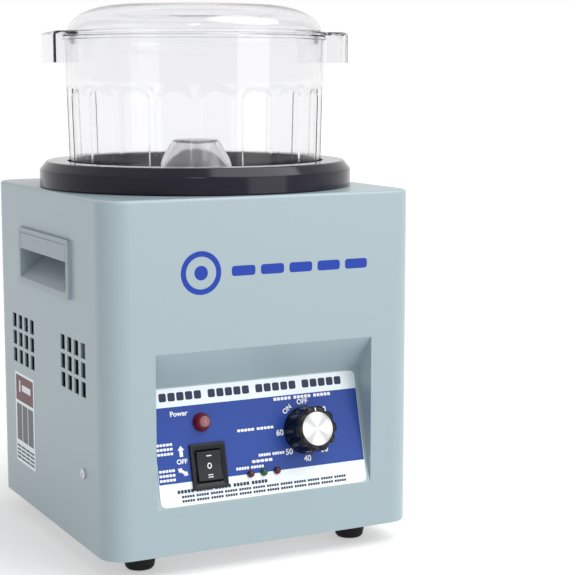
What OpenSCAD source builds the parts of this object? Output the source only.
// Bench-top magnetic tumbler: a sheet-steel casing with a clear bowl and lid on top, a motor that
// spins a disc of magnets under the bowl, and a sloped control panel sunk into the front.
// Origin: on the floor, under the middle of the casing. X to the right, Y to the back, Z up.

/* [Casing] */
// Width of the casing, left to right
casing_w = 240; // [236:1:300]
// Depth of the casing, front to back
casing_d = 242; // [238:1:300]
// Height of the casing, from its lower edge to its top deck
casing_h = 246; // [240:1:320]
// Outside radius of the four upright corners
corner_r = 18; // [8:1:20]
// Bend radius along the top edges
top_edge_r = 2.5; // [1:0.5:5]
// Thickness of the sheet steel
sheet_t = 1.2; // [0.8:0.1:2]
// Distance from the casing's side to a foot's centre
foot_inset_x = 35.4; // [25:0.1:50]
// Distance from the casing's front or back to a foot's centre
foot_inset_y = 32.4; // [25:0.1:50]
// Height of the feet under the casing
foot_h = 16; // [12:1:30]
// Radius of a foot where it meets the casing
foot_r = 12.7; // [10:0.1:18]

/* [Control recess] */
// Width of the recess in the front
recess_w = 168; // [166:1:190]
// Height of the recess's lower edge above the casing's lower edge
recess_bottom_z = 33; // [28:1:45]
// Height of the recess's deepest line
recess_deep_z = 114; // [112:1:125]
// Height of the recess's upper edge
recess_top_z = 141; // [135:1:155]
// Depth of the recess at its deepest line
recess_depth = 21; // [12:1:26]
// Width of the printed panel label
label_w = 162; // [150:1:164]
// Length of the panel label up the slope
label_l = 81.6; // [76:0.1:82]
// Thickness of the panel label
label_t = 0.4; // [0.2:0.1:0.6]

/* [Controls] */
// Sideways place of the timer knob
knob_x = 35.5; // [30:0.5:45]
// Place of the timer knob up the slope
knob_up = 43.2; // [36:0.1:52]
// Radius of the timer knob over its flutes
knob_r = 16.5; // [14:0.5:18]
// How far the timer knob stands out of the panel
knob_l = 20; // [16:0.5:26]
// Radius of the metal cap on the knob
knob_cap_r = 12; // [9:0.5:12.5]
// Radius of the timer's shaft
timer_shaft_r = 3; // [2.5:0.25:3.5]
// Sideways place of the power lamp
lamp_x = -44.5; // [-60:0.5:-35]
// Place of the power lamp up the slope
lamp_up = 57; // [55:0.5:66]
// Radius of the power lamp's collar
lamp_r = 6.8; // [5:0.1:8]
// Sideways place of the rocker switch
rocker_x = -42.7; // [-60:0.1:-35]
// Place of the rocker switch up the slope
rocker_up = 26.3; // [22:0.1:30]
// Width of the rocker switch's frame
rocker_frame_w = 27; // [24:0.5:30]
// Length of the rocker switch's frame up the slope
rocker_frame_l = 32; // [30:0.5:34]
// Radius that the rocker's ends swing on
rocker_swing_r = 11; // [9:0.5:12]
// Sideways place of the middle indicator light
led_x = -1; // [-10:0.5:5]
// Distance between indicator lights
led_pitch = 10.4; // [8:0.1:12]
// Place of the indicator lights up the slope
led_up = 17; // [12:0.5:20]
// Radius of an indicator light
led_r = 2.5; // [1.5:0.5:2.5]

/* [Handles and vents] */
// Length of a side handle's flange
handle_l = 112; // [90:1:130]
// Height of a side handle's flange
handle_h = 42; // [38:1:50]
// Height of a side handle's middle above the casing's lower edge
handle_z = 193.5; // [185:0.5:205]
// How far a side handle's flange stands out of the casing
handle_t = 2.5; // [1.5:0.5:4]
// How deep a side handle reaches into the casing
handle_depth = 24; // [18:1:30]
// Height of the finger opening in a side handle
grip_h = 22; // [18:1:26]
// Width of one vent slot
vent_w = 9; // [5:0.5:10]
// Height of one vent slot
vent_h = 10.8; // [6:0.1:12]
// Distance between vent slots, along the side
vent_pitch_y = 14.1; // [12:0.1:16]
// Distance between vent rows
vent_pitch_z = 13.6; // [13:0.1:16]
// Height of the lowest vent row above the casing's lower edge
vent_z = 107.5; // [90:0.5:115]
// Distance of a vent group's middle from the side's middle
vent_group_y = 56.3; // [50:0.1:65]

/* [Bowl and lid] */
// Outside radius of the bowl under its rim
bowl_r = 96.6; // [90:0.1:98]
// How much narrower the bowl is at its foot
bowl_taper = 2.6; // [0:0.1:4]
// Height of the bowl
bowl_h = 107.4; // [80:0.1:140]
// Wall thickness of the bowl
bowl_wall = 3; // [2:0.5:4]
// Height of the cone in the middle of the bowl
cone_h = 31; // [15:1:45]
// Radius at the top of the cone
cone_top_r = 17; // [10:1:22]
// Radius at the foot of the cone
cone_foot_r = 34; // [28:1:45]
// Width of the black ring outside the bowl
collar_w = 20.1; // [16:0.1:20.5]
// Height of the black ring above the top deck
collar_h = 19; // [17:1:24]
// Height of the lid's dome
dome_h = 20; // [12:1:35]
// Width of the dome's rounded shoulder
dome_shoulder = 40; // [20:1:60]
// Width of a lid tab
tab_w = 72; // [50:1:90]
// Distance from the lid's middle to the outer end of a tab
tab_reach = 110; // [106:0.5:120]
// How far a lid tab hangs below the lid's flange
tab_drop = 19.5; // [10:0.5:28]
// Turn of the lid's tabs away from the X axis, in degrees
tab_turn = -11; // [-45:1:45]

/* [Drive] */
// Radius of the motor
motor_r = 52; // [45:1:56]
// Length of the motor
motor_l = 104; // [90:1:120]
// Radius of the motor shaft
shaft_r = 6; // [5:0.5:7]
// Radius of the magnet disc
disc_r = 86; // [75:1:88]
// Radius of one magnet
magnet_r = 9; // [6:0.5:10]
// Height of one magnet
magnet_h = 10; // [6:0.5:12]
// Number of magnets in the outer ring
magnet_count = 12; // [8:2:16]
// Size of the square cooling fan
fan_size = 80; // [70:1:90]
// Height of the fan's middle above the casing's lower edge
fan_z = 150; // [140:1:165]

/* [Hidden] */
$fn = 64;

// colours
paint = [0.68, 0.75, 0.76];
black = [0.08, 0.08, 0.09];
clear = [0.92, 0.94, 0.96, 0.35];
steel = [0.72, 0.73, 0.75];
zinc = [0.62, 0.63, 0.64];
copper = [0.72, 0.42, 0.22];

// clearances and fits
gap = 0.3;            // between pieces that move apart
seat_gap = 0.5;       // radial, lid over the bowl's rim
running_fit = 0.06;   // radial, shaft in a bore
screw_fit = 0.05;     // radial, screw in its own thread hole
screw_clear = 0.2;    // radial, screw through a plain hole
sheet_fit = 0.1;      // folded sheet inside folded sheet
moulding_fit = 0.5;   // moulding in a cut-out
cut = 1;              // how far a cutter runs past a face

// casing
inside_w = casing_w - 2 * sheet_t;
inside_d = casing_d - 2 * sheet_t;
deck_under_z = casing_h - sheet_t;
side_x = casing_w / 2;
back_y = casing_d / 2;
base_t = 1.5;
flange_h = 64;
flange_l = casing_d - 52;
vent_cols = 4;
vent_rows = 3;
foot_profile = [[5.4, 0], [3.6, 0.5], [2.5, 1.8], [2.1, 3.4]]; // inset from foot_r, height
foot_recess_clear = 1.2;
foot_nut_r = 4.05;
foot_nut_t = 3.2;

// rear opening and its panel
rear_t = 1.5;
rear_lap = 8;
rear_margin = 20;
rear_corner_r = 4;
rear_w = casing_w - 2 * rear_margin;
rear_low_z = 22;
rear_high_z = casing_h - 18;
rear_mid_z = (rear_low_z + rear_high_z) / 2;
rear_screw_x = rear_w / 2 - rear_lap / 2;
rear_screw_end = 12;
rear_screw_zs = [rear_low_z + rear_screw_end, rear_mid_z, rear_high_z - rear_screw_end];

// screws: shank radius, head radius, head height
m3 = [1.5, 2.8, 1.8];
m4 = [2, 3.8, 2.4];
m5 = [2.5, 4.6, 3];
sheet_screw_l = 8;
side_screw_y = -76;
side_screw_z = 53;
base_screw_x = 60;
base_screw_z = 13;
base_rear_flange = [140, 20];

// sloped panel
slope_rise = recess_deep_z - recess_bottom_z;
slope_tilt = atan(recess_depth / slope_rise);
slope_l = norm([recess_depth, slope_rise]);
recess_flange = 8;
panel_cut_l = 12;     // length of a cutter through the panel and its label
label_corner_r = 4;
label_start = 1;      // up the slope, where the label begins
notice_size = [46, 71];
notice_place = [56, 64.5];
notice_t = 0.3;

// timer, lamp, rocker and lights
bushing_r = timer_shaft_r + 1.5;
bushing_l = 8;
timer_box = 44;
timer_deep = 32;
timer_tag_pitch = 12;
nut_t = 2.5;
nut_r = bushing_r + 3;
nut_clear = 1.5;
knob_low = label_t + gap;
shaft_top = knob_l - 6;
cap_t = 1.2;
cap_rim = 0.8;
cap_lip = 0.3;
knob_edge = 1.5;
knob_skirt = [0.8, 3]; // extra radius, height
flute_count = 10;
flute_r = 4;
flute_bite = 1.6;
flute_low = 4;
lamp_body_r = lamp_r - 2.2;
lamp_lens_r = lamp_r - 1.6;
lamp_out = 7.5;
lamp_deep = 20;
lamp_edge = 1;
lamp_nut_t = 3;
rocker_w = 15.6;
rocker_deep = 15;
rocker_pin_r = 1.5;
rocker_pin_end = 2;
rocker_pivot_depth = 1.5;
rocker_tag_pitch = 8;
rocker_rise = 0.9;    // the paddle's ends above the bezel
rocker_dip = 0.3;     // its middle below the bezel
rocker_side_low = -3.6;
rocker_foot = [4, -6.4];
bezel_t = 2;
bezel_lap = 1.5;
bezel_corner_r = 1.2;
bezel_clear = 0.2;
tag = [6.3, 0.8, 8];  // push-on terminal: width, thickness, length
led_flange_r = led_r + 1;
led_flange_t = 1;
led_deep = 5;
led_out = 1.5;

// side handles
grip_rim = 4.5;
handle_wall = 2.5;
handle_lap = 3;
handle_corner_r = 2;
handle_body_l = handle_l - 2 * handle_lap;
handle_body_h = handle_h - 2 * handle_lap;
grip_low_z = handle_z - handle_h / 2 + grip_rim;
grip_high_z = grip_low_z + grip_h;
grip_back_rise = 2;
grip_plate_t = 1;
outline_w = 0.8;
outline_depth = 0.4;
outline_h = handle_h - grip_h - 2 * grip_rim + 1.5;

// bowl seat
seat_t = 2.5;
collar_r = bowl_r + collar_w;
collar_chamfer_r = 5.2;
collar_chamfer_h = 6.4;
collar_wall = 3;
collar_boss_r = 5;
collar_screw_l = 11;
well_r = bowl_r - 0.6;
deck_hole_r = bowl_r - 8;
collar_mid_r = (well_r + collar_r) / 2;
bowl_z = casing_h + seat_t + gap;
bowl_bend_r = 5;
bead = 1.8;
bead_h = 2.6;
lid_z = bowl_z + bowl_h + gap;
lid_flange_t = 3;
lid_wall = 2.5;
spigot_drop = 6;
spigot_clear = 0.6;
lid_flange_r = bowl_r + bead + 0.4;
dome_r = bowl_r - 2.1;
dome_steps = 12;
tab_root = 20;
tab_hollow_up = 0.5;

// motor, hung under the bracket's top plate
bracket_t = 3;
bracket_x = motor_r + 30;
bracket_leg_w = 70;
bracket_foot_l = 20;
bracket_margin = 6;
bracket_screw_y = 20;
disc_t = 5;
magnet_gap = 3.8;
magnet_z = deck_under_z - magnet_gap - magnet_h;
disc_z = magnet_z - disc_t;
hub_flange_t = 4;
hub_l = 24;
hub_r = shaft_r + 8;
hub_flange_r = shaft_r + 20;
hub_screw_r = shaft_r + 14;
hub_over_motor = 14;
motor_top_z = disc_z - hub_l - hub_over_motor;
motor_low_z = motor_top_z - motor_l;
bell_t = 10;
bell_spigot = 3;
bell_face_t = 1;
bearing_shoulder = 2;
can_wall = 2.5;
bearing_r = shaft_r + 8;
bearing_t = 8;
stator_gap = 12;
core_l = motor_l - 2 * bell_t - 2 * stator_gap;
core_low_z = motor_low_z + bell_t + stator_gap;
winding_clear = 4;
air_gap = 0.5;
rotor_r = motor_r - 22;
shaft_end = 4;
shaft_in_disc = 2;
motor_screw_r = motor_r - 9;
motor_screw_bite = 8;
magnet_ring_r = disc_r - magnet_r - 5;
magnet_inner_r = magnet_ring_r / 2;

// fan, power inlet and fuse, all on the rear panel
fan_t = 25;
fan_corner_r = 4;
fan_spoke = 3;
fan_bore_r = fan_size / 2 - 1.5;
fan_hole = fan_size / 2 - 4.25;
fan_hub_r = 16;
fan_pin_r = 1.5;
blade_count = 7;
blade = [fan_bore_r, 28, 1.6];
blade_pitch = 42;     // degrees
blade_clear = 1.5;
guard_wire = 2;
guard_out = 3;
guard_first_r = 10;
guard_pitch = 9.5;
guard_eye_r = 4.4;
fan_screw_l = 16;
inlet_x = -62;
fuse_x = -20;
inlet_z = 50;
inlet_size = [27.6, 20];
inlet_flange = [50, 23];
inlet_flange_t = 3;
inlet_deep = 18;
inlet_back_t = 4;
inlet_screw_x = 20;
inlet_screw_l = 9;
inlet_clear = 0.2;
socket_half_w = 12;
socket_half_h = 8;
socket_bevel = 4.5;
contact = [2, 4];
contact_places = [[-7, -2], [7, -2], [0, 2]];
contact_inset = 1;
fuse_r = 6.2;
fuse_bore_r = 4.7;
fuse_cap_r = 7.2;
fuse_tube_r = 2.5;
fuse_tube_l = 20;
fuse_flange_t = 2;
fuse_flange_w = 2.8;
fuse_deep = 34;
fuse_wall = 5;        // from the tube's inner end to the bottom of the bore
fuse_nut_t = 4;
fuse_cap_out = 7;
fuse_cap_in = 6;
fuse_slot = [9, 1.6, 2.4];

// electronics on the base plate
board_size = [92, 66, 1.6];
board_pos = [-22, -8];
board_hole_inset = 5;
standoff_h = 8;
standoff_r = 3.2;
stud_over = 2;
relay_size = [19, 15, 16];
relay_places = [[-34, -16.5], [-34, 3.5]];
transformer_size = [28, 30, 24];
transformer_place = [-8, -18];
smoothing_r = 6;
smoothing_l = 22;
smoothing_place = [30, 14];
plug_size = [10, 30, 12];
plug_place = [24, -26];
capacitor_r = 16;
capacitor_l = 62;
capacitor_pos = [50, -8];
clip_t = 1.5;
clip_h = 14;
clip_tongue = [12, 12];
terminal_size = [44, 18, 14];
terminal_pos = [-58, 84];
terminal_count = 4;
terminal_pitch = 10;
terminal_well = [2.6, 5]; // radius, depth

// ---------- helpers ----------

// raises a piece from the casing's own height to the floor's
module lift() translate([0, 0, foot_h]) children();

// places a piece on the sloped panel: X right, Y up the slope, Z straight out of it
module on_panel(x, up)
  lift()
    translate([x, -casing_d / 2 + up * sin(slope_tilt), recess_bottom_z + up * cos(slope_tilt)])
      rotate([90 - slope_tilt, 0, 0]) children();

// places a piece on the casing's rear plane, Z pointing out of the back
module at_rear(x, z) lift() translate([x, back_y, z]) rotate([-90, 0, 0]) children();

module round_rect(size, r) {
  square([size.x, size.y - 2 * r], center = true);
  square([size.x - 2 * r, size.y], center = true);
  for (x = [-1, 1], y = [-1, 1])
    translate([x * (size.x / 2 - r), y * (size.y / 2 - r)]) circle(r);
}

module round_plate(size, r, t) linear_extrude(t) round_rect(size, r);

module ring(outer_r, inner_r, h)
  difference() {
    cylinder(r = outer_r, h = h);
    translate([0, 0, -cut]) cylinder(r = inner_r, h = h + 2 * cut);
  }

// a pan-head screw, its head standing on Z = 0 and its shank going down
module screw(kind, l) {
  cylinder(r = kind[1], h = kind[2]);
  translate([0, 0, -l]) cylinder(r = kind[0], h = l + kind[2] / 2);
}

module hole(r, l) translate([0, 0, -l / 2]) cylinder(r = r, h = l);

module corners(x, y) for (sx = [-1, 1], sy = [-1, 1]) translate([sx * x, sy * y]) children();

function arc_points(r_x, r_y, steps) =
  [for (i = [0:steps]) [r_x * cos(90 * i / steps), r_y * sin(90 * i / steps)]];

// ---------- casing ----------

// cross-section of a top edge run: flat top with rounded shoulders
module top_run(width) {
  translate([-width / 2, -cut]) square([width, cut]);
  translate([-width / 2 + top_edge_r, -cut]) square([width - 2 * top_edge_r, cut + top_edge_r]);
  for (s = [-1, 1]) translate([s * (width / 2 - top_edge_r), 0]) circle(top_edge_r);
}

module top_corner()
  rotate_extrude() {
    translate([0, -cut]) square([corner_r, cut]);
    translate([0, -cut]) square([corner_r - top_edge_r, cut + top_edge_r]);
    intersection() {
      translate([corner_r - top_edge_r, 0]) circle(top_edge_r);
      translate([0, -top_edge_r]) square([corner_r, 2 * top_edge_r]);
    }
  }

module casing_block() {
  linear_extrude(casing_h - top_edge_r) round_rect([casing_w, casing_d], corner_r);
  translate([0, 0, casing_h - top_edge_r]) {
    rotate([90, 0, 0])
      linear_extrude(casing_d - 2 * corner_r, center = true) top_run(casing_w);
    rotate([90, 0, 90])
      linear_extrude(casing_w - 2 * corner_r, center = true) top_run(casing_d);
    corners(casing_w / 2 - corner_r, casing_d / 2 - corner_r) top_corner();
  }
}

// the space of the control recess, grown outwards by t
module recess_space(t) {
  run = 4 * t + cut;
  top_slope = atan((recess_top_z - recess_deep_z) / recess_depth);
  front_y = -casing_d / 2;
  from_slope = [cos(slope_tilt), -sin(slope_tilt)];
  from_top = [sin(top_slope), cos(top_slope)];
  deep = [front_y + recess_depth, recess_deep_z]
    + t * (from_slope + from_top) / (1 + from_slope * from_top);
  low_z = recess_bottom_z - t / sin(slope_tilt);
  high_z = recess_top_z + t / cos(top_slope);
  translate([-recess_w / 2 - t, 0, 0])
    rotate([90, 0, 90])
      linear_extrude(recess_w + 2 * t)
        polygon([
          [front_y, low_z], deep, [front_y, high_z],
          [front_y - run, high_z + run * tan(top_slope)], [front_y - run, low_z]
        ]);
}

module vent_slots()
  for (group = [-1, 1], col = [0:vent_cols - 1], row = [0:vent_rows - 1])
    translate([
      -casing_w / 2 - cut,
      group * vent_group_y + (col - (vent_cols - 1) / 2) * vent_pitch_y - vent_w / 2,
      vent_z + row * vent_pitch_z
    ]) cube([casing_w + 2 * cut, vent_w, vent_h]);

module side_screw_axes()
  for (side = [-1, 1])
    translate([side * side_x, side_screw_y, side_screw_z]) rotate([0, side * 90, 0]) children();

module base_screw_axes()
  for (x = [-base_screw_x, base_screw_x])
    translate([x, back_y, base_screw_z]) rotate([-90, 0, 0]) children();

module collar_screw_axes()
  for (a = [45:90:315]) rotate([0, 0, a]) translate([collar_mid_r, 0, 0]) children();

module casing_shell() color(paint) lift() difference() {
  casing_block();
  translate([0, 0, -cut])
    linear_extrude(deck_under_z + cut) round_rect([inside_w, inside_d], corner_r - sheet_t);
  translate([0, 0, deck_under_z - cut]) cylinder(r = deck_hole_r, h = sheet_t + 2 * cut);
  recess_space(0);
  vent_slots();
  for (side = [-1, 1])
    translate([side * side_x, 0, handle_z])
      cube([4 * sheet_t, handle_body_l + 2 * moulding_fit, handle_body_h + 2 * moulding_fit],
        center = true);
  side_screw_axes() hole(m4[0] + screw_clear, 4 * sheet_t);
  base_screw_axes() hole(m4[0] + screw_clear, 4 * sheet_t);
  collar_screw_axes() translate([0, 0, casing_h]) hole(m4[0] + screw_clear, 4 * sheet_t);
  translate([-rear_w / 2 + rear_lap, back_y - 2 * sheet_t, rear_low_z + rear_lap])
    cube([rear_w - 2 * rear_lap, 4 * sheet_t, rear_high_z - rear_low_z - 2 * rear_lap]);
  for (x = [-rear_screw_x, rear_screw_x], z = rear_screw_zs)
    translate([x, back_y, z]) rotate([90, 0, 0]) hole(m4[0] + screw_fit, 4 * sheet_t);
}

module rear_panel() color(paint) difference() {
  at_rear(0, rear_mid_z) round_plate([rear_w, rear_high_z - rear_low_z], rear_corner_r, rear_t);
  for (x = [-rear_screw_x, rear_screw_x], z = rear_screw_zs)
    at_rear(x, z) hole(m4[0] + screw_clear, 4 * rear_t);
  at_rear(0, fan_z) {
    hole(fan_bore_r - moulding_fit, 4 * rear_t);
    corners(fan_hole, fan_hole) hole(m4[0] + screw_clear, 4 * rear_t);
  }
  at_rear(inlet_x, inlet_z) {
    cube([inlet_size.x + 2 * inlet_clear, inlet_size.y + 2 * inlet_clear, 4 * rear_t], center = true);
    for (x = [-inlet_screw_x, inlet_screw_x])
      translate([x, 0, 0]) hole(m3[0] + screw_clear, 4 * rear_t);
  }
  at_rear(fuse_x, inlet_z) hole(fuse_r + screw_clear, 4 * rear_t);
}

module rear_screws() color(steel) {
  for (x = [-rear_screw_x, rear_screw_x], z = rear_screw_zs)
    at_rear(x, z) translate([0, 0, rear_t]) screw(m4, sheet_screw_l);
  lift() base_screw_axes() screw(m4, sheet_screw_l);
}

module base_plate() color(zinc) lift() difference() {
  union() {
    round_plate([inside_w - 2 * sheet_fit, inside_d - 2 * sheet_fit], corner_r - sheet_t, base_t);
    for (side = [-1, 1])
      translate([side * (inside_w / 2 - sheet_fit - base_t / 2), 0, flange_h / 2])
        cube([base_t, flange_l, flange_h], center = true);
    translate([0, inside_d / 2 - sheet_fit - base_t / 2, base_rear_flange.y / 2])
      cube([base_rear_flange.x, base_t, base_rear_flange.y], center = true);
  }
  side_screw_axes() hole(m4[0] + screw_fit, 2 * sheet_screw_l);
  base_screw_axes() hole(m4[0] + screw_fit, 2 * sheet_screw_l);
  corners(side_x - foot_inset_x, back_y - foot_inset_y) hole(m4[0] + screw_clear, 4 * base_t);
  bracket_screw_axes() hole(m5[0] + screw_fit, 4 * base_t);
}

module side_screws() color(steel) lift() side_screw_axes() screw(m4, sheet_screw_l);

module feet() color(black)
  corners(side_x - foot_inset_x, back_y - foot_inset_y) difference() {
    rotate_extrude() polygon(concat(
      [[0, 0]], [for (p = foot_profile) [foot_r - p.x, p.y]], [[foot_r, foot_h], [0, foot_h]]
    ));
    hole(m4[1] + foot_recess_clear, foot_h);
    translate([0, 0, foot_h / 2]) cylinder(r = m4[0] + screw_fit, h = foot_h);
  }

module foot_screws() color(steel)
  corners(side_x - foot_inset_x, back_y - foot_inset_y)
    translate([0, 0, foot_h / 2]) rotate([180, 0, 0]) screw(m4, foot_h / 2 + base_t + foot_nut_t + cut);

module foot_nuts() color(steel) lift()
  corners(side_x - foot_inset_x, back_y - foot_inset_y)
    translate([0, 0, base_t]) difference() {
      cylinder(r = foot_nut_r, h = foot_nut_t, $fn = 6);
      hole(m4[0] + screw_fit, 4 * foot_nut_t);
    }

// ---------- control recess ----------

// cutters through the panel and its label
module panel_holes() {
  on_panel(knob_x, knob_up) hole(bushing_r + screw_clear, panel_cut_l);
  on_panel(lamp_x, lamp_up) hole(lamp_body_r + screw_clear, panel_cut_l);
  on_panel(rocker_x, rocker_up)
    cube([rocker_frame_w - 2 * bezel_lap, rocker_frame_l - 2 * bezel_lap, panel_cut_l],
      center = true);
  on_panel(led_x, led_up)
    for (i = [-1:1]) translate([i * led_pitch, 0, 0]) hole(led_r + screw_clear, panel_cut_l);
}

module control_recess() color(paint) difference() {
  lift() intersection() {
    union() {
      recess_space(sheet_t);
      translate([
        -recess_w / 2 - recess_flange,
        -inside_d / 2,
        recess_bottom_z - recess_flange
      ]) cube([
        recess_w + 2 * recess_flange,
        sheet_t,
        recess_top_z - recess_bottom_z + 2 * recess_flange
      ]);
    }
    translate([-casing_w / 2, -inside_d / 2, 0]) cube([casing_w, casing_d / 2, casing_h]);
  }
  lift() recess_space(0);
  panel_holes();
}

module panel_label() color("white") difference() {
  on_panel(0, label_start + label_l / 2)
    round_plate([label_w, label_l], label_corner_r, label_t);
  panel_holes();
}

// plain notice label low on the left side
module side_label() color("white") lift()
  translate([-side_x, notice_place.x, notice_place.y]) rotate([90, 0, -90])
    round_plate(notice_size, 1, notice_t);

module power_lamp() color([0.55, 0.05, 0.06]) on_panel(lamp_x, lamp_up) {
  translate([0, 0, -lamp_deep]) cylinder(r = lamp_body_r, h = lamp_deep + label_t + cut);
  translate([0, 0, label_t]) cylinder(r1 = lamp_r, r2 = lamp_lens_r, h = lamp_out - lamp_edge);
  translate([0, 0, label_t + lamp_out - lamp_edge])
    cylinder(r1 = lamp_lens_r, r2 = lamp_lens_r - lamp_edge, h = lamp_edge);
}

module lamp_nut() color(steel) on_panel(lamp_x, lamp_up)
  translate([0, 0, -sheet_t - lamp_nut_t]) difference() {
    cylinder(r = lamp_body_r + 3, h = lamp_nut_t, $fn = 6);
    hole(lamp_body_r + screw_fit, 4 * lamp_nut_t);
  }

// the rocker's pivot, along X
module rocker_pivot() on_panel(rocker_x, rocker_up)
  translate([0, 0, label_t - rocker_pivot_depth]) rotate([0, 90, 0]) children();

module rocker_frame() color(black) difference() {
  on_panel(rocker_x, rocker_up) {
    translate([0, 0, label_t]) round_plate([rocker_frame_w, rocker_frame_l], bezel_corner_r, bezel_t);
    translate([0, 0, (label_t - rocker_deep) / 2]) cube([
      rocker_frame_w - 2 * bezel_lap - 2 * bezel_clear,
      rocker_frame_l - 2 * bezel_lap - 2 * bezel_clear,
      rocker_deep + label_t
    ], center = true);
    for (i = [-1:1])
      translate([0, i * rocker_tag_pitch, -rocker_deep - tag.z / 2]) cube(tag, center = true);
  }
  on_panel(rocker_x, rocker_up)
    cube([rocker_w + 2 * gap, 2 * (rocker_swing_r + gap), 3 * (label_t + bezel_t)], center = true);
  rocker_pivot() {
    cylinder(r = rocker_swing_r + gap, h = rocker_w + 2 * gap, center = true);
    cylinder(r = rocker_pin_r + running_fit, h = rocker_w + 2 * (rocker_pin_end + gap), center = true);
  }
}

module rocker_paddle() color(black) {
  intersection() {
    rocker_pivot() cylinder(r = rocker_swing_r, h = rocker_w, center = true);
    on_panel(rocker_x, rocker_up) translate([0, 0, label_t])
      rotate([90, 0, 90]) linear_extrude(rocker_w, center = true)
        polygon([
          [-rocker_swing_r, rocker_side_low], [-rocker_swing_r, bezel_t + rocker_rise],
          [0, bezel_t - rocker_dip],
          [rocker_swing_r, bezel_t + rocker_rise], [rocker_swing_r, rocker_side_low],
          rocker_foot, [-rocker_foot.x, rocker_foot.y]
        ]);
  }
  rocker_pivot() cylinder(r = rocker_pin_r, h = rocker_w + 2 * rocker_pin_end, center = true);
}

module timer_body() color([0.16, 0.16, 0.18]) on_panel(knob_x, knob_up) difference() {
  union() {
    translate([0, 0, -sheet_t - timer_deep / 2])
      cube([timer_box, timer_box, timer_deep], center = true);
    translate([0, 0, -sheet_t - cut]) cylinder(r = bushing_r, h = bushing_l + cut);
    for (i = [-1:1])
      translate([i * timer_tag_pitch, 0, -sheet_t - timer_deep - tag.z / 2])
        cube(tag, center = true);
  }
  translate([0, 0, -sheet_t - timer_deep / 2])
    cylinder(r = timer_shaft_r + running_fit, h = timer_deep);
}

module timer_nut() color(steel) on_panel(knob_x, knob_up)
  translate([0, 0, label_t]) difference() {
    cylinder(r = nut_r, h = nut_t, $fn = 6);
    hole(bushing_r + screw_fit, 4 * nut_t);
  }

module timer_shaft() color(steel) on_panel(knob_x, knob_up)
  translate([0, 0, -sheet_t - timer_deep / 2 + gap])
    cylinder(r = timer_shaft_r, h = sheet_t + timer_deep / 2 - gap + shaft_top);

module timer_knob() color(black) on_panel(knob_x, knob_up) difference() {
  union() {
    translate([0, 0, knob_low])
      cylinder(r1 = knob_r + knob_skirt[0], r2 = knob_r, h = knob_skirt[1]);
    translate([0, 0, knob_low + knob_skirt[1]])
      cylinder(r = knob_r, h = knob_l - knob_edge - knob_skirt[1] - knob_low);
    translate([0, 0, knob_l - knob_edge])
      cylinder(r1 = knob_r, r2 = knob_r - knob_edge, h = knob_edge);
  }
  for (i = [0:flute_count - 1])
    rotate([0, 0, (i + 0.5) * 360 / flute_count])
      translate([knob_r + flute_r - flute_bite, 0, flute_low]) cylinder(r = flute_r, h = knob_l);
  translate([0, 0, -cut]) cylinder(r = nut_r + nut_clear, h = bushing_l + 2 * cut);
  translate([0, 0, -cut]) cylinder(r = timer_shaft_r, h = shaft_top + cut);
  translate([0, 0, knob_l - cap_t]) cylinder(r = knob_cap_r, h = cap_t + cut);
}

module knob_cap() color([0.88, 0.88, 0.9]) on_panel(knob_x, knob_up)
  translate([0, 0, knob_l - cap_t]) difference() {
    cylinder(r = knob_cap_r, h = cap_t + cap_lip);
    translate([0, 0, cap_t]) cylinder(r = knob_cap_r - cap_rim, h = cut);
  }

module led() {
  translate([0, 0, -sheet_t - led_deep]) {
    cylinder(r = led_r, h = sheet_t + led_deep + led_out);
    cylinder(r = led_flange_r, h = led_flange_t);
  }
  translate([0, 0, led_out]) sphere(r = led_r);
}

module leds_red() color([0.5, 0.04, 0.08]) on_panel(led_x, led_up)
  for (i = [-1, 1]) translate([i * led_pitch, 0, 0]) led();

module led_green() color([0.05, 0.4, 0.15]) on_panel(led_x, led_up) led();

// ---------- side handles ----------

// built for the left side; the right one is its mirror image
module handle() color(paint) lift() difference() {
  union() {
    translate([-side_x, 0, handle_z]) rotate([90, 0, -90])
      round_plate([handle_l, handle_h], handle_corner_r, handle_t);
    translate([-side_x, -handle_body_l / 2, handle_z - handle_body_h / 2])
      cube([handle_depth, handle_body_l, handle_body_h]);
  }
  translate([0, (handle_l - 2 * grip_rim) / 2, 0]) rotate([90, 0, 0])
    linear_extrude(handle_l - 2 * grip_rim) polygon([
      [-side_x - handle_t - cut, grip_low_z], [-side_x - handle_t, grip_low_z],
      [-side_x + handle_depth - handle_wall, grip_high_z - grip_back_rise],
      [-side_x + handle_depth - handle_wall, handle_z + handle_body_h / 2 - handle_wall],
      [-side_x + grip_plate_t, handle_z + handle_body_h / 2 - handle_wall],
      [-side_x + grip_plate_t, grip_high_z], [-side_x - handle_t - cut, grip_high_z]
    ]);
  // shallow outline round the upper plate
  translate([-side_x - handle_t, 0, 0]) difference() {
    translate([-outline_depth, -handle_l / 2 + grip_rim, grip_high_z])
      cube([2 * outline_depth, handle_l - 2 * grip_rim, outline_h]);
    translate([-cut, -handle_l / 2 + grip_rim + outline_w, grip_low_z])
      cube([2 * cut, handle_l - 2 * grip_rim - 2 * outline_w, grip_h + outline_h - outline_w]);
  }
}

module handle_left() handle();
module handle_right() mirror([1, 0, 0]) handle();

// ---------- bowl, lid and their seat ----------

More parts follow.
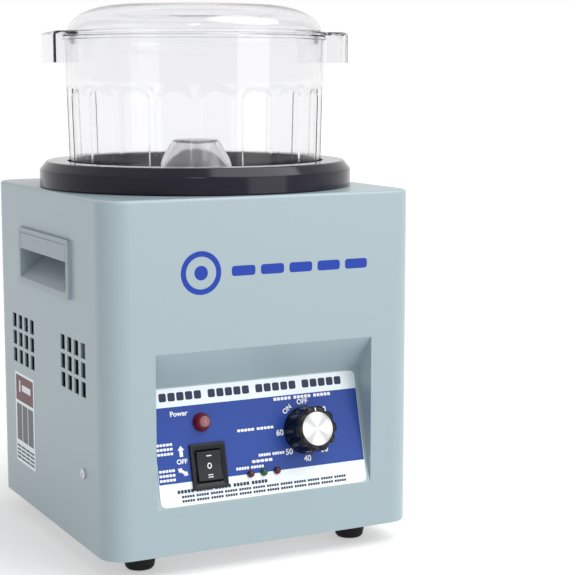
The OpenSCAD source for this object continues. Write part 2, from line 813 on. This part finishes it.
module collar_ring() color(black) lift() difference() {
  translate([0, 0, casing_h]) rotate_extrude() polygon([
    [0, 0], [collar_r, 0], [collar_r, collar_h - collar_chamfer_h],
    [collar_r - collar_chamfer_r, collar_h], [well_r, collar_h], [well_r, seat_t], [0, seat_t]
  ]);
  // hollow underneath, with four screw bosses left standing
  difference() {
    union() {
      translate([0, 0, casing_h - cut])
        ring(collar_r - collar_wall, well_r + collar_wall, collar_h - collar_chamfer_h - 2 + cut);
      translate([0, 0, casing_h - cut])
        ring(collar_r - collar_chamfer_r - collar_wall / 2, well_r + collar_wall,
          collar_h - collar_wall + cut);
    }
    collar_screw_axes() translate([0, 0, casing_h - 2 * cut]) cylinder(r = collar_boss_r, h = collar_h);
  }
  collar_screw_axes() translate([0, 0, casing_h - cut])
    cylinder(r = m4[0] + screw_fit, h = collar_screw_l + 2 * cut);
}

module collar_screws() color(steel) lift()
  collar_screw_axes() translate([0, 0, deck_under_z]) rotate([180, 0, 0]) screw(m4, collar_screw_l);

module bowl() color(clear) lift() translate([0, 0, bowl_z]) rotate_extrude() {
  low_r = bowl_r - bowl_taper;
  in = bowl_wall;
  polygon(concat(
    [[cone_foot_r - in, 0], [low_r - bowl_bend_r, 0]],
    [for (a = [-67.5:22.5:0])
      [low_r - bowl_bend_r + bowl_bend_r * cos(a), bowl_bend_r + bowl_bend_r * sin(a)]],
    [
      [bowl_r, bowl_h - bead_h], [bowl_r + bead, bowl_h - bead_h], [bowl_r + bead, bowl_h],
      [bowl_r - in, bowl_h], [low_r - in, in + bowl_bend_r],
      [low_r - in - 0.3 * bowl_bend_r, in + 0.3 * bowl_bend_r], [low_r - in - bowl_bend_r, in],
      [cone_foot_r, in], [cone_top_r, cone_h], [0, cone_h],
      [0, cone_h - in], [cone_top_r - 0.75 * in, cone_h - in]
    ]
  ));
}

// one lid tab: a hollow box open underneath, clear of the bowl's rim
module lid_tab() difference() {
  translate([bowl_r - tab_root, -tab_w / 2, -tab_drop])
    cube([tab_reach - bowl_r + tab_root, tab_w, tab_drop + lid_flange_t]);
  translate([0, -tab_w / 2 + lid_wall, -tab_drop - cut])
    cube([tab_reach - lid_wall, tab_w - 2 * lid_wall, tab_drop + cut + tab_hollow_up]);
  translate([0, 0, -tab_drop - cut]) cylinder(r = bowl_r + bead + seat_gap, h = tab_drop + cut);
  translate([0, 0, -cut]) cylinder(r = bowl_r - bowl_wall - 1, h = lid_flange_t + 2 * cut);
}

module lid() color(clear) lift() translate([0, 0, lid_z]) {
  rotate_extrude() {
    spigot_r = bowl_r - bowl_wall - spigot_clear;
    outer = arc_points(dome_shoulder, dome_h, dome_steps);
    inner = arc_points(dome_shoulder - lid_wall, dome_h - lid_wall, dome_steps);
    polygon(concat(
      [
        [spigot_r - lid_wall, -spigot_drop], [spigot_r, -spigot_drop], [spigot_r, 0],
        [lid_flange_r, 0], [lid_flange_r, lid_flange_t]
      ],
      [for (p = outer) [dome_r - dome_shoulder + p.x, lid_flange_t + p.y]],
      [[0, lid_flange_t + dome_h], [0, lid_flange_t + dome_h - lid_wall]],
      [for (i = [dome_steps:-1:0]) [dome_r - dome_shoulder + inner[i].x, lid_flange_t + inner[i].y]]
    ));
  }
  for (a = [0, 180]) rotate([0, 0, tab_turn + a]) lid_tab();
}

// ---------- drive ----------

module bracket_screw_axes()
  for (x = [-1, 1], y = [-bracket_screw_y, bracket_screw_y])
    translate([x * (bracket_x + bracket_foot_l / 2), y, 0]) children();

module motor_screw_axes()
  for (a = [45:90:315]) rotate([0, 0, a]) translate([motor_screw_r, 0, 0]) children();

module motor_bracket() color(zinc) lift() difference() {
  union() {
    translate([-bracket_x, -motor_r - bracket_margin, motor_top_z])
      cube([2 * bracket_x, 2 * (motor_r + bracket_margin), bracket_t]);
    for (side = [-1, 1]) {
      translate([side * (bracket_x - bracket_t / 2), 0, (base_t + motor_top_z + bracket_t) / 2])
        cube([bracket_t, bracket_leg_w, motor_top_z + bracket_t - base_t], center = true);
      translate([side * (bracket_x + bracket_foot_l / 2 - cut), 0, base_t + bracket_t / 2])
        cube([bracket_foot_l, bracket_leg_w, bracket_t], center = true);
    }
  }
  translate([0, 0, motor_top_z]) hole(bearing_r - bearing_shoulder, 4 * bracket_t);
  motor_screw_axes() translate([0, 0, motor_top_z]) hole(m5[0] + screw_clear, 4 * bracket_t);
  bracket_screw_axes() translate([0, 0, base_t]) hole(m5[0] + screw_clear, 4 * bracket_t);
}

module bracket_screws() color(steel) lift()
  bracket_screw_axes() translate([0, 0, base_t + bracket_t]) screw(m5, bracket_t + base_t + 2 * cut);

module motor_can() color([0.25, 0.26, 0.28]) lift()
  translate([0, 0, motor_low_z + bell_t]) ring(motor_r, motor_r - can_wall, motor_l - 2 * bell_t);

// an end bell, its outer face on Z = 0 and its spigot pointing down into the can
module motor_bell() difference() {
  union() {
    translate([0, 0, -bell_t]) cylinder(r = motor_r, h = bell_t);
    translate([0, 0, -bell_t - bell_spigot])
      cylinder(r = motor_r - can_wall - screw_fit, h = bell_spigot + cut);
  }
  translate([0, 0, -bell_t - bell_spigot - cut])
    cylinder(r = bearing_r, h = bell_t + bell_spigot + cut - bell_face_t);
  hole(bearing_r - bearing_shoulder, 4 * bell_t);
}

module motor_top_bell() color(zinc) lift() difference() {
  translate([0, 0, motor_top_z]) motor_bell();
  motor_screw_axes() translate([0, 0, motor_top_z]) hole(m5[0] + screw_fit, 2 * motor_screw_bite + cut);
}

module motor_lower_bell() color(zinc) lift()
  translate([0, 0, motor_low_z]) rotate([180, 0, 0]) motor_bell();

module motor_stator() color([0.45, 0.45, 0.47]) lift()
  translate([0, 0, core_low_z]) ring(motor_r - can_wall, rotor_r + air_gap, core_l);

module motor_windings() color(copper) lift()
  for (z = [core_low_z - stator_gap + winding_clear, core_low_z + core_l])
    translate([0, 0, z])
      ring(motor_r - can_wall - winding_clear, rotor_r + winding_clear, stator_gap - winding_clear);

module motor_rotor() color([0.5, 0.5, 0.52]) lift()
  translate([0, 0, core_low_z]) ring(rotor_r, shaft_r, core_l);

module motor_shaft() color(steel) lift()
  translate([0, 0, motor_low_z - shaft_end])
    cylinder(r = shaft_r, h = disc_z + shaft_in_disc - motor_low_z + shaft_end);

module motor_bearings() color(steel) lift()
  for (z = [motor_low_z + bell_face_t, motor_top_z - bell_face_t - bearing_t])
    translate([0, 0, z]) ring(bearing_r, shaft_r + running_fit, bearing_t);

module motor_screws() color(steel) lift()
  motor_screw_axes() translate([0, 0, motor_top_z + bracket_t]) screw(m5, bracket_t + motor_screw_bite);

module hub_screw_axes()
  for (a = [0:90:270]) rotate([0, 0, a]) translate([hub_screw_r, 0, 0]) children();

module disc_hub() color(steel) lift() difference() {
  union() {
    translate([0, 0, disc_z - hub_l]) cylinder(r = hub_r, h = hub_l);
    translate([0, 0, disc_z - hub_flange_t]) cylinder(r = hub_flange_r, h = hub_flange_t);
  }
  translate([0, 0, disc_z]) hole(shaft_r, 4 * hub_l);
  hub_screw_axes() translate([0, 0, disc_z]) hole(m4[0] + screw_fit, 4 * hub_flange_t);
}

module magnet_axes() {
  for (i = [0:magnet_count - 1])
    rotate([0, 0, i * 360 / magnet_count]) translate([magnet_ring_r, 0, 0]) children();
  for (i = [0:magnet_count / 2 - 1])
    rotate([0, 0, (i + 0.5) * 720 / magnet_count]) translate([magnet_inner_r, 0, 0]) children();
}

module magnet_disc() color(zinc) lift() difference() {
  translate([0, 0, disc_z]) cylinder(r = disc_r, h = disc_t);
  translate([0, 0, disc_z]) hole(shaft_r, 4 * disc_t);
  hub_screw_axes() translate([0, 0, disc_z]) hole(m4[0] + screw_clear, 4 * disc_t);
}

module magnets() color(steel) lift()
  magnet_axes() translate([0, 0, magnet_z]) cylinder(r = magnet_r, h = magnet_h);

module disc_screws() color(steel) lift()
  hub_screw_axes() translate([0, 0, magnet_z]) screw(m4, disc_t + hub_flange_t);

// ---------- rear fittings ----------

module fan_frame() color(black) at_rear(0, fan_z) {
  difference() {
    translate([0, 0, -fan_t]) round_plate([fan_size, fan_size], fan_corner_r, fan_t);
    hole(fan_bore_r, 4 * fan_t);
    corners(fan_hole, fan_hole) hole(m4[0] + screw_fit, 4 * fan_t);
  }
  translate([0, 0, -fan_t]) cylinder(r = fan_hub_r + 1, h = fan_spoke);
  for (a = [45:90:315]) rotate([0, 0, a])
    translate([fan_hub_r, -fan_spoke / 2, -fan_t])
      cube([fan_bore_r - fan_hub_r + cut, fan_spoke, fan_spoke]);
  translate([0, 0, -fan_t + fan_spoke - cut]) cylinder(r = fan_pin_r, h = fan_t - 2 * fan_spoke);
}

module fan_rotor() color(black) at_rear(0, fan_z) difference() {
  union() {
    translate([0, 0, -fan_t + fan_spoke + gap])
      cylinder(r = fan_hub_r, h = fan_t - 2 * fan_spoke - 2 * cut);
    for (i = [0:blade_count - 1]) rotate([0, 0, i * 360 / blade_count])
      intersection() {
        translate([0, 0, -fan_t + fan_spoke + cut])
          ring(fan_bore_r - blade_clear, fan_hub_r - cut, fan_t - 3 * fan_spoke);
        translate([(fan_bore_r + fan_hub_r) / 2, 0, -fan_t / 2]) rotate([blade_pitch, 0, 0])
          cube(blade, center = true);
      }
  }
  hole(fan_pin_r + running_fit, 4 * fan_t);
}

// flat rings on four flat arms, each arm ending in a screw eye
module fan_guard() color(steel) at_rear(0, fan_z) {
  eye_x = fan_hole * sqrt(2);
  for (r = [guard_first_r:guard_pitch:fan_bore_r])
    translate([0, 0, rear_t + guard_out - guard_wire / 2])
      ring(r + guard_wire / 2, r - guard_wire / 2, guard_wire);
  for (a = [45:90:315]) rotate([0, 0, a]) {
    translate([guard_first_r, -guard_wire / 2, rear_t + guard_out - guard_wire])
      cube([eye_x - guard_first_r - guard_eye_r + cut, guard_wire, guard_wire]);
    translate([eye_x, 0, rear_t]) ring(guard_eye_r, m4[0] + screw_clear, guard_out);
  }
}

module fan_screws() color(steel) at_rear(0, fan_z)
  corners(fan_hole, fan_hole) translate([0, 0, rear_t + guard_out]) screw(m4, fan_screw_l);

// one contact of the power inlet: the pin in the socket and the tab behind it
module inlet_contact() {
  translate([-contact.x / 2, -contact.y / 2, -inlet_deep]) cube([
    contact.x, contact.y, inlet_deep - contact_inset
  ]);
  translate([-tag.y / 2, -tag.x / 2, -inlet_deep - tag.z]) cube([tag.y, tag.x, tag.z + cut]);
}

module inlet_contacts()
  for (p = contact_places) translate([p.x, p.y, 0]) inlet_contact();

module inlet_body() color(black) at_rear(inlet_x, inlet_z) difference() {
  union() {
    translate([0, 0, rear_t]) round_plate(inlet_flange, rear_corner_r, inlet_flange_t);
    translate([-inlet_size.x / 2, -inlet_size.y / 2, -inlet_deep])
      cube([inlet_size.x, inlet_size.y, inlet_deep + rear_t + cut]);
  }
  translate([0, 0, -inlet_deep + inlet_back_t]) linear_extrude(2 * inlet_deep) polygon([
    [-socket_half_w, -socket_half_h], [socket_half_w, -socket_half_h],
    [socket_half_w, socket_half_h - socket_bevel], [socket_half_w - socket_bevel, socket_half_h],
    [socket_bevel - socket_half_w, socket_half_h], [-socket_half_w, socket_half_h - socket_bevel]
  ]);
  inlet_contacts();
  for (x = [-inlet_screw_x, inlet_screw_x]) translate([x, 0, 0]) hole(m3[0] + screw_clear, inlet_deep);
}

module inlet_pins() color([0.8, 0.72, 0.45]) at_rear(inlet_x, inlet_z) inlet_contacts();

module inlet_screws() color(steel) at_rear(inlet_x, inlet_z)
  for (x = [-inlet_screw_x, inlet_screw_x])
    translate([x, 0, rear_t + inlet_flange_t]) screw(m3, inlet_screw_l);

module fuse_holder() color(black) at_rear(fuse_x, inlet_z) difference() {
  union() {
    translate([0, 0, rear_t]) cylinder(r = fuse_r + fuse_flange_w, h = fuse_flange_t);
    translate([0, 0, -fuse_deep]) cylinder(r = fuse_r, h = fuse_deep + rear_t + cut);
    translate([0, 0, -fuse_deep - tag.z / 2]) cube([tag.x, tag.y, tag.z + cut], center = true);
  }
  translate([0, 0, -fuse_cap_in - fuse_tube_l - fuse_wall])
    cylinder(r = fuse_bore_r, h = fuse_deep + 2 * fuse_cap_out);
}

module fuse_nut() color(black) at_rear(fuse_x, inlet_z)
  translate([0, 0, -fuse_nut_t]) ring(fuse_r + 3, fuse_r + screw_fit, fuse_nut_t);

module fuse_cap() color(black) at_rear(fuse_x, inlet_z) {
  face = rear_t + fuse_flange_t + gap;
  difference() {
    translate([0, 0, face]) cylinder(r1 = fuse_cap_r, r2 = fuse_cap_r - 0.6, h = fuse_cap_out);
    translate([0, 0, face + fuse_cap_out]) cube(fuse_slot, center = true);
  }
  translate([0, 0, -fuse_cap_in]) cylinder(r = fuse_bore_r - gap, h = fuse_cap_in + face + cut);
}

module fuse_link() color([0.85, 0.88, 0.9]) at_rear(fuse_x, inlet_z)
  translate([0, 0, -fuse_cap_in - fuse_tube_l]) cylinder(r = fuse_tube_r, h = fuse_tube_l);

// ---------- electronics ----------

module board_hole_axes()
  translate(board_pos)
    corners(board_size.x / 2 - board_hole_inset, board_size.y / 2 - board_hole_inset) children();

module control_board() color([0.1, 0.35, 0.18]) lift() difference() {
  translate([board_pos.x - board_size.x / 2, board_pos.y - board_size.y / 2, base_t + standoff_h])
    cube(board_size);
  board_hole_axes() translate([0, 0, base_t + standoff_h]) hole(m3[0] + screw_clear, 4 * board_size.z);
}

module board_standoffs() color([0.8, 0.72, 0.45]) lift() board_hole_axes() {
  translate([0, 0, base_t]) cylinder(r = standoff_r, h = standoff_h, $fn = 6);
  translate([0, 0, base_t + standoff_h - cut])
    cylinder(r = m3[0], h = cut + board_size.z + stud_over);
}

// relays, transformer, capacitor and plug rows standing on the board
module board_parts() color([0.2, 0.3, 0.5]) lift()
  translate([board_pos.x, board_pos.y, base_t + standoff_h + board_size.z]) {
    for (p = relay_places) translate(p) cube(relay_size);
    translate(transformer_place) cube(transformer_size);
    translate(smoothing_place) cylinder(r = smoothing_r, h = smoothing_l);
    translate(plug_place) cube(plug_size);
  }

module run_capacitor() color([0.75, 0.77, 0.8]) lift()
  translate([capacitor_pos.x, capacitor_pos.y, base_t])
    cylinder(r = capacitor_r, h = capacitor_l);

module capacitor_clip() color(zinc) lift()
  translate([capacitor_pos.x, capacitor_pos.y, base_t]) {
    ring(capacitor_r + clip_t, capacitor_r, clip_h);
    difference() {
      translate([-clip_tongue.x / 2, -capacitor_r - clip_tongue.y, 0])
        cube([clip_tongue.x, clip_tongue.y, clip_t]);
      hole(capacitor_r, 4 * clip_t);
    }
  }

module terminal_block() color([0.9, 0.88, 0.8]) lift()
  translate([terminal_pos.x, terminal_pos.y, base_t]) difference() {
    translate([-terminal_size.x / 2, -terminal_size.y / 2, 0]) cube(terminal_size);
    for (i = [0:terminal_count - 1])
      translate([
        (i - (terminal_count - 1) / 2) * terminal_pitch, 0, terminal_size.z - terminal_well[1]
      ]) cylinder(r = terminal_well[0], h = terminal_well[1] + cut);
  }

casing_shell();
rear_panel();
rear_screws();
base_plate();
side_screws();
feet();
foot_screws();
foot_nuts();
control_recess();
panel_label();
side_label();
handle_left();
handle_right();
collar_ring();
collar_screws();
bowl();
lid();
power_lamp();
lamp_nut();
rocker_frame();
rocker_paddle();
timer_body();
timer_nut();
timer_shaft();
timer_knob();
knob_cap();
leds_red();
led_green();
fan_frame();
fan_rotor();
fan_guard();
fan_screws();
inlet_body();
inlet_pins();
inlet_screws();
fuse_holder();
fuse_nut();
fuse_cap();
fuse_link();
motor_bracket();
bracket_screws();
motor_can();
motor_top_bell();
motor_lower_bell();
motor_stator();
motor_windings();
motor_rotor();
motor_shaft();
motor_bearings();
motor_screws();
disc_hub();
magnet_disc();
magnets();
disc_screws();
control_board();
board_standoffs();
board_parts();
run_capacitor();
capacitor_clip();
terminal_block();
